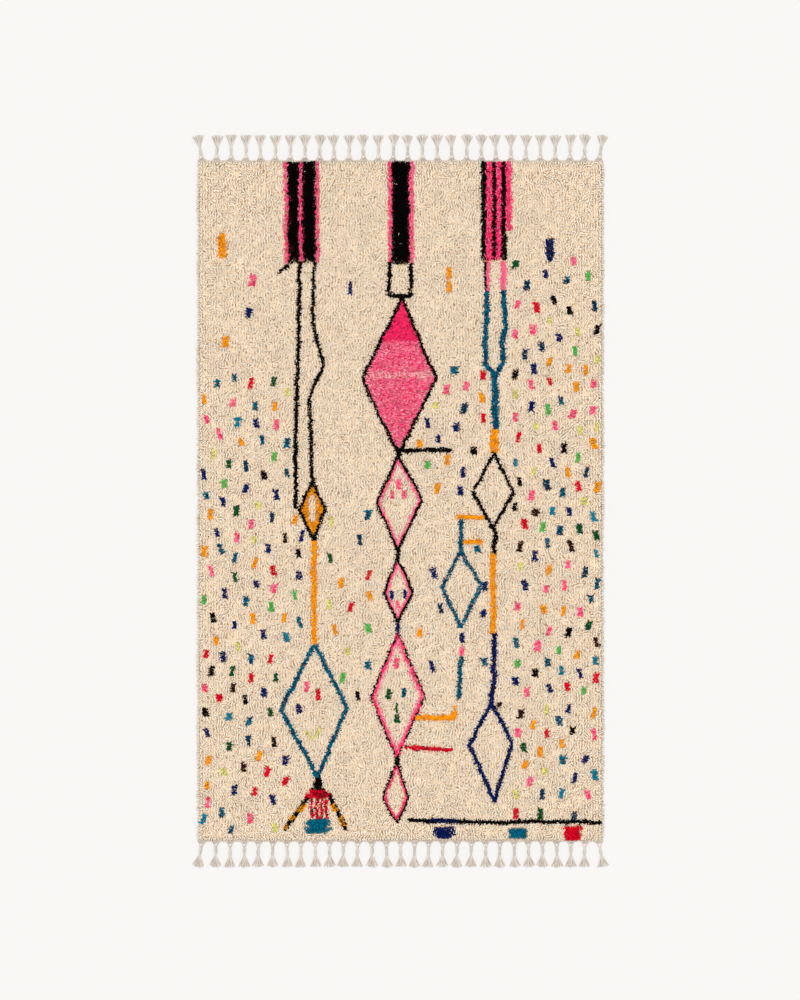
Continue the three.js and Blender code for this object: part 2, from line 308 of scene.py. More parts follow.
MIXED_BLOCKS = {"rose": (("rose", "pink"), (0.65, 0.35))}
MIXED_OUTLINE = (("black", "rose"), (0.7, 0.3))
drawing_chance = np.random.default_rng(41)


class Waviness:
    """A smooth unevenness over the cloth: random levels on a square grid, eased into each other."""

    def __init__(self, cell, seed):
        self.cell = cell
        self.levels = np.random.default_rng(seed).uniform(-1.5, 1.5, (512, 512))

    def at(self, x, y):
        u, v = x / self.cell, y / self.cell
        i, j = np.floor(u).astype(int), np.floor(v).astype(int)
        u, v = u - i, v - j
        u, v = u * u * (3 - 2 * u), v * v * (3 - 2 * v)
        near, far = ((1 - u) * self.levels[k % 512, i % 512] + u * self.levels[k % 512, (i + 1) % 512]
                     for k in (j, j + 1))
        return (1 - v) * near + v * far


def inside_polygon(x, y, corners):
    inside = np.zeros(x.shape, bool)
    for (ax, ay), (bx, by) in zip(corners, corners[1:] + corners[:1]):
        crosses = (ay > y) != (by > y)
        with np.errstate(divide="ignore", invalid="ignore"):
            inside ^= crosses & (x < (bx - ax) * (y - ay) / (by - ay) + ax)
    return inside


def distance_to_line(x, y, points):
    nearest = np.full(x.shape, 1e9)
    for (ax, ay), (bx, by) in zip(points, points[1:]):
        dx, dy = bx - ax, by - ay
        t = np.clip(((x - ax) * dx + (y - ay) * dy) / (dx * dx + dy * dy), 0, 1)
        nearest = np.minimum(nearest, np.hypot(x - ax - t * dx, y - ay - t * dy))
    return nearest


drift_x, drift_y, streaks = Waviness(32, 3), Waviness(32, 4), Waviness(8, 8)


def dye_of(x, y, dashes=(), rough=(0.0, 0.0)):
    """The dye of the yarn at each place, and whether it belongs to a line, a block or a dash, which are
    knotted row by row; rough is each knot's own slip to and fro, from -1 to 1."""
    px = x + DRIFT * drift_x.at(x, y) + KNOT_SLIP * rough[0]
    py = y + DRIFT * drift_y.at(x, y) + KNOT_SLIP * rough[1]
    dye, drawn = np.zeros(x.shape, int), np.zeros(x.shape, bool)

    def knot(where, name, by_row=False):
        dye[where], drawn[where] = DYE[name], by_row

    for name, left, right, foot in BARS:
        bar = (px > left) & (px < right) & (py > foot)
        stray, *above = BAR_STRAYS[name]
        knot(bar, name)
        knot(bar & (rough[0] > above[0]) & (rough[1] > above[1]), stray)
    for line, fill, width, *corners in LOZENGES:
        within = inside_polygon(px, py, corners)
        from_line = distance_to_line(px, py, corners + corners[:1])
        if fill == "pink":
            streak = np.abs(py - PALE_STREAK + STREAK_WANDER * streaks.at(x, y)) < STREAK_HALF_WIDTH
            knot(within, "pink")
            knot(within & (rough[0] * rough[1] < ROSE_FLECKS), "rose")
            knot(within & (py > ROSE_ABOVE), "rose")
            knot(within & streak & (rough[0] > STREAK_GAPS), "pale_pink")
            knot(within & (py < PALE_BELOW) & (rough[1] * rough[0] > PALE_FLECKS), "pale_pink")
        elif fill in LININGS:
            knot(within & (from_line < width / 2 + LINING_WIDTH - 2), "rose", True)
        elif fill == "orange":
            knot(within, "orange")
            knot(distance_to_line(px, py, CORE) < CORE_HALF_WIDTH, "ivory")
        knot(from_line < width / 2 - LINE_SLACK, line, True)
    for name, width, *points in LINES:
        knot(distance_to_line(px, py, points) < width / 2 - LINE_SLACK, name, True)
    for name, left, right, foot, head in BLOCKS:
        knot((px > left) & (px < right) & (py > foot) & (py < head), name, True)
    for name, width, *points in OVERLAID:
        knot(distance_to_line(px, py, points) < width / 2 - LINE_SLACK, name, True)
    for name, cx, cy, half_width, half_height, waist, lean in dashes:
        near = np.flatnonzero((np.abs(x - cx) < DASH_AROUND) & (np.abs(y - cy) < DASH_AROUND))
        dy = y[near] - cy
        reach = half_width * (1 - waist * (1 - np.abs(dy) / half_height)) - DASH_SLACK
        within = (np.abs(x[near] - cx - lean * dy) < reach) & (np.abs(dy) < half_height - DASH_SLACK)
        knot(near[within], name, True)
    return dye, drawn


def row_of_knots(points, width, barbed=(-1, 1)):
    """Place, lay and reach of the knots along a line: rows of tufts that lie along it, side by side in as
    many rows as its width takes, and shorter ones across it that stand out to its sides as barbs."""
    rows = max(1, math.ceil((width - 3) / LINE_ROW))
    found = []
    for (ax, ay), (bx, by) in zip(points, points[1:]):
        length = math.hypot(bx - ax, by - ay)
        way = math.atan2(by - ay, bx - ax)
        steps = max(1, round(length / LINE_STEP))
        shift, swell = drawing_chance.normal(0, LINE_SHIFT, steps), drawing_chance.uniform(*LINE_SWELL, steps)

        def add_knots(pitch, offset, slip, lay, spread, reach):
            count = max(1, round(length / pitch))
            t = (np.arange(count) + 0.5 + PITCH_SLIP * drawing_chance.uniform(-1, 1, count)) / count
            step = np.minimum((t * steps).astype(int), steps - 1)
            out = offset * swell[step] + shift[step] + slip * drawing_chance.uniform(-1, 1, count)
            x = ax + (bx - ax) * t - (by - ay) / length * out
            y = ay + (by - ay) * t + (bx - ax) / length * out
            found.append((x, y, lay + drawing_chance.normal(0, spread, count),
                          reach * drawing_chance.uniform(*KNOT_LENGTHS, count)))

        for row in range(rows):
            offset = (row / (rows - 1) - 0.5) * (width - LINE_INSET) if rows > 1 else 0
            add_knots(LINE_PITCH, offset, LINE_SLIP, way, LINE_SPREAD, LINE_REACH)
        for side in barbed:
            add_knots(BARB_PITCH, side * (width / 2 - BARB_INSET), BARB_SLIP, way + math.pi / 2,
                      BARB_SPREAD, BARB_REACH)
    x, y, lay, reach = (np.concatenate(column) for column in zip(*found))
    return x - DRIFT * drift_x.at(x, y), y - DRIFT * drift_y.at(x, y), lay, reach


def scatter_dashes():
    """Short dashes dropped between the chains, never on them and never too close to each other."""
    chance = drawing_chance
    names = list(DASH_DYES)
    share = np.array([DASH_DYES[n] for n in names], float)
    share /= share.sum()
    dashes = []
    for name, left, right, foot, head in SINGLE_DASHES:
        dashes.append((name, (left + right) / 2, (foot + head) / 2, (right - left) / 2, (head - foot) / 2,
                       chance.uniform(0.0, SINGLE_WAIST), chance.uniform(-SINGLE_LEAN, SINGLE_LEAN)))
    placed = np.array([d[1:3] for d in dashes])
    ring = [(0, 0)] + [(DASH_MARGIN[0] * r * math.cos(a), DASH_MARGIN[1] * r * math.sin(a))
                       for r in (0.4, 0.7, 1) for a in np.linspace(0, 2 * math.pi, 13)[:-1]]
    for left, foot, right, head, spacing in DASH_ZONES:
        tries = int((right - left) * (head - foot) / TRY_AREA)
        for closeness in CLOSENESS:
            x, y = chance.uniform(left, right, tries), chance.uniform(foot, head, tries)
            free = ~np.any([inside_polygon(x, y, corners) for _, _, _, *corners in LOZENGES], axis=0)
            for dx, dy in ring:
                free &= dye_of(x + dx, y + dy)[0] == 0
            for cx, cy in zip(x[free], y[free]):
                if np.min(np.hypot(placed[:, 0] - cx, placed[:, 1] - cy)) < spacing * closeness:
                    continue
                placed = np.vstack([placed, (cx, cy)])
                name = names[chance.choice(len(names), p=share)]
                small = LIME_SIZE if name == "lime" else 1.0
                dashes.append((name, cx, cy, small * chance.uniform(*DASH_WIDTH) / 2,
                               small * chance.uniform(*DASH_HEIGHT) / 2,
                               chance.uniform(0.0, DASH_WAIST), chance.uniform(-DASH_LEAN, DASH_LEAN)))
    return dashes


def knots_of_dash(cx, cy, half_width, half_height, waist, lean):
    """Place, lay and reach of a dash's knots: rows of two, narrower at the waist, with ends that stray."""
    chance = drawing_chance
    rows = max(4, round(2 * half_height / DASH_ROW))
    found = []
    for row in range(rows):
        level = 2 * row / (rows - 1) - 1
        dy = level * (half_height - DASH_END)
        half = half_width * (1 - waist * (1 - abs(level))) * DASH_RAGGED[0 if row % 2 else 1]
        half *= chance.uniform(*DASH_ROUGHNESS)
        slip = chance.normal(0, DASH_SLIP)
        for side in (-1, 1):
            stray = chance.normal(0, DASH_STRAY) + DASH_FLARE * side * level * (abs(level) > 0.9)
            found.append((cx + lean * dy + slip + side * half * DASH_PAIR[0],
                          cy + dy + chance.uniform(-DASH_PAIR[1], DASH_PAIR[1]), stray,
                          (DASH_TUFT[0] * half + DASH_TUFT[1]) / CURL_LENGTH))
    return np.array(found).T


# The pile: short tufts of loosely spun wool, each tied round two warps, standing close and curling over
# their neighbours. Undyed ivory makes the field and dyed yarns draw the motifs, one piece for each yarn.
PILE_WIDTH, PILE_LENGTH = 1484, 2488  # millimetres, like the drawing
ROWS_WIDTH, ROWS_LENGTH = PILE_WIDTH - 12, PILE_LENGTH - 6
IVORY_PITCH, FILLING_PITCH, RIM_PITCH = (10.2, 7.4), (6.2, 6.2), 6.4
ROW_DRIFT, DRIFT_SHAPE, ROW_SLIP = 3.0, (0.4, 3), (1.0, 2.4)
IVORY_REACH, FILLING_REACH, RIM_REACH = 0.96, 0.68, 1.0  # lengths and thicknesses, as shares of a whole curl
IVORY_GIRTH, FILLING_GIRTH, DASH_GIRTH, LINE_GIRTH = 1.35, 1.1, 1.14, 1.0
IVORY_SWIRL, IVORY_STRAY, FILLING_SWIRL, FILLING_STRAY = 1.0, 0.3, 0.5, 0.45
BARS_FROM, ENDS_REACH, TURNS = 740, 7.0, 5
IVORY_UNEVENNESS, DYED_UNEVENNESS, CURL_TIP, CURL_SEED = 0.18, 0.35, 0.12, 9
IVORY_STRIPS = 4
CREST, CREST_LUMPS, CREST_SLIP, DYED_RISE = 15.5, 0.15, 0.7, 2.0  # levels of the pile's top
EDGE_WIDTH, EDGE_FALL = 14, 3.5
CURL_FORMS = [  # plan and depth of the two ends and two bends
    ((-9.0, -1.5, 6.0), (-4.0, 1.0, 0.0), (4.0, 1.2, 0.6), (9.0, -1.8, 7.0)),
    ((-8.0, 2.5, 8.0), (-4.5, -0.8, 1.0), (3.5, -1.6, 0.0), (9.5, 1.0, 5.0)),
    ((-9.5, -0.5, 5.0), (-3.5, -1.4, 0.4), (4.5, 1.4, 0.2), (8.5, 0.5, 8.0)),
    ((-7.5, 3.0, 6.5), (-4.0, 0.8, 0.2), (2.5, -1.0, 0.8), (8.0, -4.0, 6.0)),
    ((-8.5, 0.0, 9.0), (-3.0, 1.8, 0.0), (3.0, 1.6, 0.0), (7.5, -2.5, 9.0)),
    ((-10.0, 1.0, 4.0), (-5.0, 0.2, 0.8), (4.0, -0.6, 0.4), (10.0, 0.6, 4.5)),
]
CURL_CORNERS = 30  # corners of a curl's faces
YARN_HALF_WIDTH, YARN_SKEW, YARN_DEPTH = 2.3, 0.4, 1.6
# a curl's ends take the whole painted root shade at the depth DEEPEST, its flanks a share of it
DEEPEST, FLANK_ROOT_SHADE = 8, 0.4
PRESSED_FROM, PRESSED_TO = 0.003, 0.0004  # metres above the floor
RIM_TIERS = [(2.5, 5.5, 0.1), (1.0, 10.5, 0.35)]  # how far in from the edge, how high, how far it tips
RIM_SLIP, RIM_WAVES, RIM_STRAY, RIM_UNEVENNESS = (2, 2.2), 1.5, 0.35, 1.2
CORNER_WIDTH, CORNER_CUT, RIM_ENDS = 18, 7, 4
FEET_CELL, FEET_HEIGHT, FEET_RIM, FEET_FLOOR = 15.0, 11.2, 8.0, 2.9
FEET_WIDTH, FEET_LENGTH = PILE_WIDTH - 12, PILE_LENGTH - 10
FEET_WANDER, FEET_LUMPS, WHOLE_FILLING = 0.3, 1.2, 8
# painted shadow in dark slits between the curls, with a relief, and the painted shade of the feet under the
# curls
SLIT_SCALE, SLIT_STRETCH, SLIT_WIDTH, SLIT_RELIEF = 95, (1.0, 0.7, 0.5), 0.07, (0.5, 0.002)
SLIT_SHADE, FEET_SHADE = (0.34, 0.21, 0.12), (0.90, 0.75, 0.59)
# CREST_FROM: how far up a yarn's side its painted side shade gives way to its own color
FIBRE_SCALE, FIBRE_RELIEF, CREST_FROM = 900, (0.5, 0.0008), 0.46
IVORY_SIDE_SHADE, DYED_SIDE_SHADE = (0.86, 0.81, 0.75), (0.95, 1.4)  # painted shade: how a curl's color is painted deeper down its sides
# painted root shade towards the curls' ends, where they go down into the pile (barely any for dyed yarns),
# then the spread of each tuft's random lightness, and shine
IVORY_ROOT_SHADE, IVORY_TONES, IVORY_SHINE = (0.80, 0.64, 0.49), 0.05, 0.15
DYED_ROOT_SHADE, DYED_TONES, DYED_SHINE = (0.95, 0.95, 0.95), 0.2, 0.03


def srgb(r, g, b):
    """A color read on the 0 to 255 scale, as light."""
    return tuple(((c / 255 + 0.055) / 1.055) ** 2.4 if c > 10 else c / 255 / 12.92 for c in (r, g, b))


WOOL = {  # the yarns, as they look in soft light
    "ivory": srgb(242, 232, 216), "black": srgb(6, 4, 3), "rose": srgb(255, 54, 118),
    "pink": srgb(255, 121, 160), "pale_pink": srgb(255, 182, 190), "orange": srgb(251, 164, 11),
    "teal": srgb(0, 110, 138), "light_teal": srgb(14, 134, 164), "navy": srgb(9, 32, 100),
    "blue": srgb(2, 56, 90), "red": srgb(226, 8, 44), "dark_green": srgb(10, 84, 44),
    "green": srgb(92, 192, 88), "lime": srgb(226, 224, 128), "brown": srgb(52, 22, 22),
}
pile_chance = np.random.default_rng(17)
lay_swirl, height_lumps, row_drift = Waviness(22, 21), Waviness(60, 22), Waviness(36, 23)


def store(mesh, name, numbers, kind="FLOAT", domain="POINT"):
    field = "vector" if kind == "FLOAT2" else "value"
    mesh.attributes.new(name, kind, domain).data.foreach_set(field, numbers)


def curl_form(name, bends):
    """One curl of yarn, three-sided and closed at both ends, its crest at the level 0."""
    ends = [(bends[0][0], bends[0][1], -bends[0][2]), (bends[3][0], bends[3][1], -bends[3][2])]
    points, r = [ends[0]], YARN_HALF_WIDTH
    for (x, y, drop), side in ((bends[1], -1), (bends[2], 1)):
        foot = (x + side * YARN_SKEW, -drop - YARN_DEPTH * r)
        points += [(x, y, -drop), (foot[0], y - r, foot[1]), (foot[0], y + r, foot[1])]
    points.append(ends[1])
    faces = [(0, 1, 2), (0, 2, 3), (0, 3, 1), (1, 4, 5, 2), (2, 5, 6, 3), (3, 6, 4, 1),
             (7, 5, 4), (7, 6, 5), (7, 4, 6)]
    mesh = bpy.data.meshes.new(name)
    mesh.from_pydata([[c / 1000 for c in p] for p in points], [], faces)
    # crest: 1 along the curl's top, 0 down its sides, which sets the painted side shade
    store(mesh, "crest", [0.2, 1, 0, 0, 1, 0, 0, 0.2])
    # low: how far down towards the ground each point lies, which sets the painted root shade
    store(mesh, "low", [bends[0][2] / DEEPEST, *[0, FLANK_ROOT_SHADE, FLANK_ROOT_SHADE] * 2, bends[3][2] / DEEPEST])
    # where each corner lies on the unrolled yarn: round it, and along it
    along = [0.0, 0.3, 0.3, 0.3, 0.7, 0.7, 0.7, 1.0]
    start = {1: 1, 2: 2, 3: 3, 4: 1, 5: 2, 6: 3}
    chart = []
    for face in faces:
        ring = [start[v] for v in face if v in start]
        first = 3 if set(ring) == {1, 3} else min(ring)
        for v in face:
            step = 0.5 if v not in start else (start[v] - first) % 3
            chart += [(first - 1 + step) / 3, along[v]]
    store(mesh, "yarn", chart, "FLOAT2", "CORNER")
    return bpy.data.objects.new(name, mesh)


def new_tree(name, kind, inputs, outputs):
    tree = bpy.data.node_groups.new(name, kind)
    for way, sockets in (("INPUT", inputs), ("OUTPUT", outputs)):
        for socket, holds in sockets.items():
            tree.interface.new_socket(socket, in_out=way, socket_type="NodeSocket" + holds)
    return tree, node(tree, "NodeGroupInput").outputs


def tufting_tree():
    """Sets one curl of yarn on every knot, turned, tipped and sized by the knot's own values."""
    tree, given = new_tree("Tufts on knots", "GeometryNodeTree", {
        "Knots": "Geometry", "Curls": "Collection", "Wool": "Material", "Unevenness": "Float", "Tip": "Float",
        "Seed": "Int"}, {"Pile": "Geometry"})

    def knot_value(name, kind="FLOAT"):
        value = node(tree, "GeometryNodeInputNamedAttribute", {"Name": name}, data_type=kind)
        return value.outputs["Attribute"]

    def scattered(spread, offset):
        """A random number from -spread to spread for each knot."""
        limits = {2: maths(tree, "MULTIPLY", spread, -1), 3: spread,
                  "Seed": maths(tree, "ADD", given["Seed"], offset)}
        return node(tree, "FunctionNodeRandomValue", limits, data_type="FLOAT").outputs[1]

    def sized(name, offset):
        return maths(tree, "MULTIPLY_ADD", scattered(given["Unevenness"], offset), *[knot_value(name)] * 2)

    turn = node(tree, "ShaderNodeCombineXYZ", {
        "X": scattered(given["Tip"], 1), "Z": knot_value("lay"),
        "Y": maths(tree, "ADD", scattered(given["Tip"], 2), knot_value("tip"))})
    size = node(tree, "ShaderNodeCombineXYZ", {"X": sized("reach", 3), "Y": sized("girth", 4), "Z": 1.0})
    forms = node(tree, "GeometryNodeCollectionInfo", {
        "Collection": given["Curls"], "Separate Children": True, "Reset Children": True})
    placed = node(tree, "GeometryNodeInstanceOnPoints", {
        "Points": given["Knots"], "Instance": forms.outputs["Instances"], "Pick Instance": True,
        "Instance Index": knot_value("form", "INT"), "Rotation": turn.outputs[0], "Scale": size.outputs[0]})
    real = node(tree, "GeometryNodeRealizeInstances", {"Geometry": placed.outputs["Instances"]})
    smooth = node(tree, "GeometryNodeSetShadeSmooth", {"Geometry": real.outputs["Geometry"]})
    dressed = node(tree, "GeometryNodeSetMaterial", {
        "Geometry": smooth.outputs["Geometry"], "Material": given["Wool"]})
    node(tree, "NodeGroupOutput", {"Pile": dressed.outputs["Geometry"]})
    return tree


def grown(name, points, values, forms, inputs):
    """The mesh that the tree grows on points that carry values, as a plain piece."""
    start = add_piece(name + "_knots", points, [])
    for key, numbers in values.items():
        store(start.data, key, numbers, "INT" if numbers.dtype.kind == "i" else "FLOAT")
    modifier = start.modifiers.new("Growth", "NODES")
    modifier.node_group = tufting
    sockets = {item.name: item.identifier for item in tufting.interface.items_tree if item.in_out == "INPUT"}
    for key, value in {**inputs, "Curls": forms}.items():
        modifier[sockets[key]] = value
    graph = bpy.context.evaluated_depsgraph_get()
    plain = bpy.data.meshes.new_from_object(start.evaluated_get(graph), depsgraph=graph)
    plain.name = name
    bpy.data.objects.remove(start)
    return add_object(name, plain)


def rest_on_floor(piece):
    """Presses the ends that would hang below the floor flat against it."""
    corners = np.empty(len(piece.data.vertices) * 3, np.float32)
    piece.data.vertices.foreach_get("co", corners)
    levels, room = corners[2::3], PRESSED_FROM - PRESSED_TO
    low = levels < PRESSED_FROM
    levels[low] = PRESSED_TO + room * np.exp((levels[low] - PRESSED_FROM) / room)
    piece.data.vertices.foreach_set("co", corners)


def chart_cells(piece, per_part):
    """Lays every part's unrolled chart in a cell of its own, for the color that the model carries."""
    mesh = piece.data
    corners = len(mesh.loops)
    local = np.empty(corners * 2, np.float32)
    mesh.attributes["yarn"].data.foreach_get("vector", local)
    local = local.reshape(-1, 2)
    part = np.arange(corners) // per_part
    cells = math.ceil(math.sqrt(part[-1] + 1))
    cell = np.stack([part % cells, part // cells], 1)
    mesh.uv_layers.new(name="OFBake").data.foreach_set("uv", ((cell + 0.08 + 0.84 * local) / cells).ravel())


def mixed(tree, share, none, whole):
    sockets = {"Factor": share, "A": none, "B": whole}
    return node(tree, "ShaderNodeMix", sockets, data_type="RGBA").outputs["Result"]


def eased(tree, value, top):
    """Climbs gently from 0 to 1 while the value goes from 0 to the top."""
    sockets = {"Value": value, "From Max": top}
    return node(tree, "ShaderNodeMapRange", sockets, interpolation_type="SMOOTHSTEP").outputs["Result"]


def wool_group():
    """Color and relief of a yarn: every tuft has its own random lightness and a fine fibrous relief, and its
    color is painted deeper down its sides and towards the ends that go down to the ground, as painted shade."""
    tree, given = new_tree("Wool yarn", "ShaderNodeTree", {
        "Wool": "Color", "Shaded wool": "Color", "Root shade": "Color", "Tone spread": "Float"},
        {"Color": "Color", "Normal": "Vector"})

    def own(name):
        return node(tree, "ShaderNodeAttribute", attribute_name=name).outputs["Fac"]

    tone_and_painted_light = maths(tree, "MULTIPLY_ADD", own("tone_and_painted_light"), given["Tone spread"], 1.0)
    # painted shade: the side color down each curl's sides, the yarn's own color along its crest
    across = mixed(tree, eased(tree, own("crest"), CREST_FROM), given["Shaded wool"], given["Wool"])
    # painted shade towards the curl's ends that go down to the ground
    down = mixed(tree, own("low"), (1, 1, 1, 1), given["Root shade"])
    shaded = maths(tree, "MULTIPLY", across, down, kind="ShaderNodeVectorMath")
    color = node(tree, "ShaderNodeVectorMath", {0: shaded, "Scale": tone_and_painted_light}, operation="SCALE")
    place = node(tree, "ShaderNodeTexCoord").outputs["Object"]
    fibres = node(tree, "ShaderNodeTexNoise", {"Scale": FIBRE_SCALE, "Detail": 2, "Vector": place})
    raised = relief(tree, *FIBRE_RELIEF, fibres.outputs["Fac"])
    node(tree, "NodeGroupOutput", {"Color": color.outputs[0], "Normal": raised})
    return tree


wool_yarn = wool_group()


# the side color and the root color are painted shade
def yarn_material(name, color, sides, root_shade, tones_and_painted_light, roughness, shine):
    material = plain_material(name, color, roughness, shine)[0]
    yarn = node(material.node_tree, "ShaderNodeGroup", node_tree=wool_yarn)
    for key, value in (("Wool", color), ("Shaded wool", sides), ("Root shade", root_shade)):
        yarn.inputs[key].default_value = (*value, 1)
    yarn.inputs["Tone spread"].default_value = tones_and_painted_light
    return dress(material, yarn.outputs["Color"], yarn.outputs["Normal"])


def wool_material(dye):
    """A yarn's wool. Between the curls its color is painted deeper: painted shade for light that has met the
    wool more than once.
    """
    color, name = WOOL[dye], "wool " + dye
    if dye == "ivory":
        # the ivory's painted side shade: its own color, scaled deeper and warmer
        sides = [c * s for c, s in zip(color, IVORY_SIDE_SHADE)]
        return yarn_material(name, color, sides, IVORY_ROOT_SHADE, IVORY_TONES, 0.5, IVORY_SHINE)
    # dyed yarns' painted side shade: darker and more saturated than their own color
    sides = [DYED_SIDE_SHADE[0] * c ** DYED_SIDE_SHADE[1] for c in color]
    return yarn_material(name, color, sides, DYED_ROOT_SHADE, DYED_TONES, 0.5, DYED_SHINE)


curls = bpy.data.collections.new("curls of yarn")
for number, bends in enumerate(CURL_FORMS):
    curls.objects.link(curl_form(f"curl_{number}", bends))
tufting = tufting_tree()
dashes = scatter_dashes()


def knot_rows(pitch):
    """Places on rows along the rug, every other row a sixth of a pitch on, all of them a little adrift."""
    across, along = round(PILE_WIDTH / pitch[0]), round(PILE_LENGTH / pitch[1])
    x = (np.arange(across) + 0.5) / across - 0.5
    y = (np.arange(along) + 0.5) / along - 0.5
    x, y = np.meshgrid(x * ROWS_WIDTH, y * ROWS_LENGTH)
    x[1::2] += pitch[0] / 6
    x += ROW_DRIFT * row_drift.at(DRIFT_SHAPE[0] * x, DRIFT_SHAPE[1] * y) * (1 - (2 * x / PILE_WIDTH) ** 8)
    slip = pile_chance.uniform(-1, 1, (2, *x.shape))
    return (x + ROW_SLIP[0] * slip[0]).ravel(), (y + ROW_SLIP[1] * slip[1]).ravel()


def knots():
    """Place, dye, lay, reach and girth of every knot: ivory ones on wide rows, fillings on close rows, and
    lines, blocks and dashes row by row along their own way."""
    found = []
    for pitch, filling in ((IVORY_PITCH, False), (FILLING_PITCH, True)):
        x, y = knot_rows(pitch)
        dye, drawn = dye_of(x, y, dashes, pile_chance.uniform(-1, 1, (2, x.size)))
        keep = (dye > 0) & ~drawn if filling else dye == 0
        x, y, dye = x[keep], y[keep], dye[keep]
        if filling:
            lay = FILLING_SWIRL * lay_swirl.at(x, y) + pile_chance.normal(0, FILLING_STRAY, x.size)
            lay[y > BARS_FROM] += math.pi / 2  # the tufts of a striped bar lie along its stripes
            reach, girth = FILLING_REACH, FILLING_GIRTH
        else:
            lay = math.pi / 2 + IVORY_SWIRL * lay_swirl.at(x, y) + pile_chance.normal(0, IVORY_STRAY, x.size)
            for _ in range(TURNS):  # turned away where its ends would cross a motif
                crossing = np.zeros(x.size, bool)
                for end in (-ENDS_REACH, ENDS_REACH):
                    crossing |= dye_of(x + end * np.cos(lay), y + end * np.sin(lay), dashes)[0] > 0
                lay[crossing] = pile_chance.uniform(0, math.pi, int(crossing.sum()))
            reach, girth = IVORY_REACH, IVORY_GIRTH
        found.append((x, y, dye, lay, np.full(x.size, reach), np.full(x.size, girth)))

    def add(x, y, lay, reach, girth, names, shares):
        yarn = np.array([DYE[name] for name in names])[pile_chance.choice(len(names), x.size, p=shares)]
        found.append((x, y, yarn, lay, reach, np.full(x.size, girth)))

    def add_line(points, width, yarns, barbed=(-1, 1)):
        add(*row_of_knots(points, width, barbed), LINE_GIRTH, *yarns)

    def yarns_of(name, mixes):
        return mixes.get(name, ([name], [1]))

    for line, fill, width, *corners in LOZENGES:
        outline = corners + corners[:1]
        yarns = MIXED_OUTLINE if fill == "edged" else yarns_of(line, MIXED_LINES)
        add_line(outline, width, yarns, barbed=(-1,) if fill in LININGS else (-1, 1))
        middle = np.mean(corners, axis=0)
        radius = distance_to_line(middle[:1], middle[1:], outline)[0]
        rows = LININGS.get(fill, [])
        for inset, names, shares in rows:
            near = 1 - (width / 2 + inset) / radius
            inner = [tuple(middle + near * (np.array(corner) - middle)) for corner in corners]
            innermost = inset == rows[-1][0]
            add_line(inner + inner[:1], LINING_ROW, (names, shares), barbed=(1,) if innermost else ())
    for name, left, right, foot, head in BLOCKS:
        middle = (left + right) / 2
        add_line([(middle, foot + 5), (middle, head - 5)], right - left, yarns_of(name, MIXED_BLOCKS))
    for name, width, *points in LINES + OVERLAID:
        add_line(points, width, yarns_of(name, MIXED_LINES))
    for name, *shape in dashes:
        add(*knots_of_dash(*shape), DASH_GIRTH, *yarns_of(name, MIXED_DASHES))
    return [np.concatenate(column) for column in zip(*found)]


x, y, dye, lay, reach, girth = knots()
dyed = dye > 0


def felted_feet():
    """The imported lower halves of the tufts: a slab under the crests, each place in the color of its yarn."""
    nx, ny = round(PILE_WIDTH / FEET_CELL), round(PILE_LENGTH / FEET_CELL)
    gx, gy = np.meshgrid(np.linspace(-0.5, 0.5, nx + 1), np.linspace(-0.5, 0.5, ny + 1))
    side = np.maximum(np.abs(gx), np.abs(gy)) > 0.4999
    gx, gy = gx * FEET_WIDTH, gy * FEET_LENGTH
    slip = np.where(side, 0, 1) * pile_chance.uniform(-FEET_WANDER, FEET_WANDER, (2, *gx.shape)) * FEET_CELL
    gx, gy = gx + slip[0], gy + slip[1]
    top = np.where(side, FEET_RIM, FEET_HEIGHT + pile_chance.uniform(-FEET_LUMPS, FEET_LUMPS, gx.shape))
    x, y = gx.ravel(), gy.ravel()
    dyes = dye_of(x, y)[0]
    for dx, dy in ((-1, 0), (1, 0), (0, -1), (0, 1)):  # only whole fillings are dyed down to the feet
        dyes[dye_of(x + WHOLE_FILLING * dx, y + WHOLE_FILLING * dy)[0] == 0] = 0
    points = np.stack([x, y, top.ravel()], 1)
    faces, rim = slab_grid(nx, ny)
    below = list(range(x.size, x.size + len(rim)))
    points = np.vstack([points, np.column_stack([points[rim, :2], np.full(len(rim), FEET_FLOOR)])])
    faces += [(b, a, c, d) for a, b, c, d in zip(rim, rim[1:] + rim[:1], below, below[1:] + below[:1])]
    faces.append(below[::-1])
    piece = add_piece("pile_feet", (points / 1000).tolist(), faces, feet_material())
    shades = np.array([WOOL[DYES[d]] for d in (*dyes, *dyes[rim])])
    colors = piece.data.color_attributes.new("yarn_color", "FLOAT_COLOR", "POINT")
    colors.data.foreach_set("color", np.column_stack([shades, np.ones(len(shades))]).ravel())
    return piece


def feet_material():
    """Packed wool in the color of its yarns, painted darker as painted shade under the curls, with painted
    dark slits of shadow between them.
    """
    material = plain_material("packed wool", WOOL["ivory"], 0.9, shine=0.1)[0]
    tree = material.node_tree
    own = node(tree, "ShaderNodeVertexColor", layer_name="yarn_color").outputs["Color"]
    place = node(tree, "ShaderNodeTexCoord").outputs["Object"]
    stretched = node(tree, "ShaderNodeMapping", {"Scale": SLIT_STRETCH, "Vector": place}).outputs["Vector"]
    slit_noise = node(tree, "ShaderNodeTexNoise", {"Scale": SLIT_SCALE, "Detail": 1.0, "Vector": stretched})
    distance = maths(tree, "ABSOLUTE", maths(tree, "SUBTRACT", slit_noise.outputs["Fac"], 0.5))
    painted_slit = eased(tree, distance, SLIT_WIDTH)
    # painted shade: the feet darker than their yarns, and darkest in the painted slits
    deep, ground = (maths(tree, "MULTIPLY", own, shade, kind="ShaderNodeVectorMath")
                    for shade in (SLIT_SHADE, FEET_SHADE))
    return dress(material, mixed(tree, painted_slit, deep, ground), relief(tree, *SLIT_RELIEF, painted_slit))


